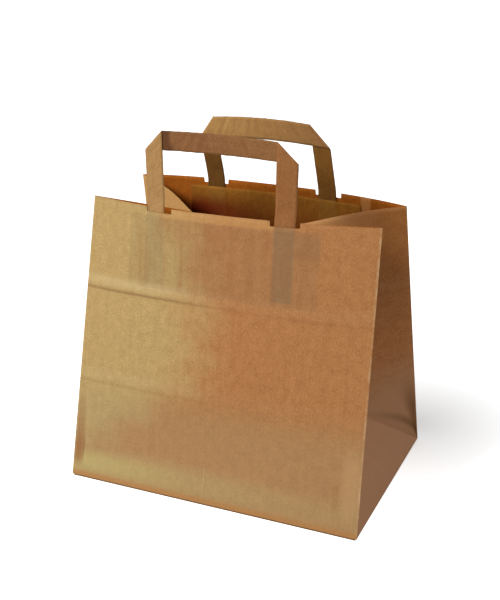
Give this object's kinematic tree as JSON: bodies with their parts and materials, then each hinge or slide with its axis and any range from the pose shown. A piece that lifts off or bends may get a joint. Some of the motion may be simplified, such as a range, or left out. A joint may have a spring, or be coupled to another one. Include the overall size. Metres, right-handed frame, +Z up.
{
  "type": "paper carrier bag",
  "caption": "Open block-bottom carrier bag of brown kraft paper, with gussets folded inwards at the mouth and flat folded paper loop handles under glued patches.",
  "frame": {"origin": "the middle of the bottom, on the surface that the bag stands on", "axes": "+Z up, +X across the bag's width, -Y out of its front"},
  "size_m": [0.2826, 0.1817, 0.3178],
  "materials": {
    "kraft_body": "matt",
    "kraft_handle": "matt",
    "kraft_patch": "matt"
  },
  "bodies": {
    "root": {"bag_body": "kraft_body", "front_handle": "kraft_handle", "back_handle": "kraft_handle", "front_patch": "kraft_patch", "back_patch": "kraft_patch"}
  },
  "joints": []
}
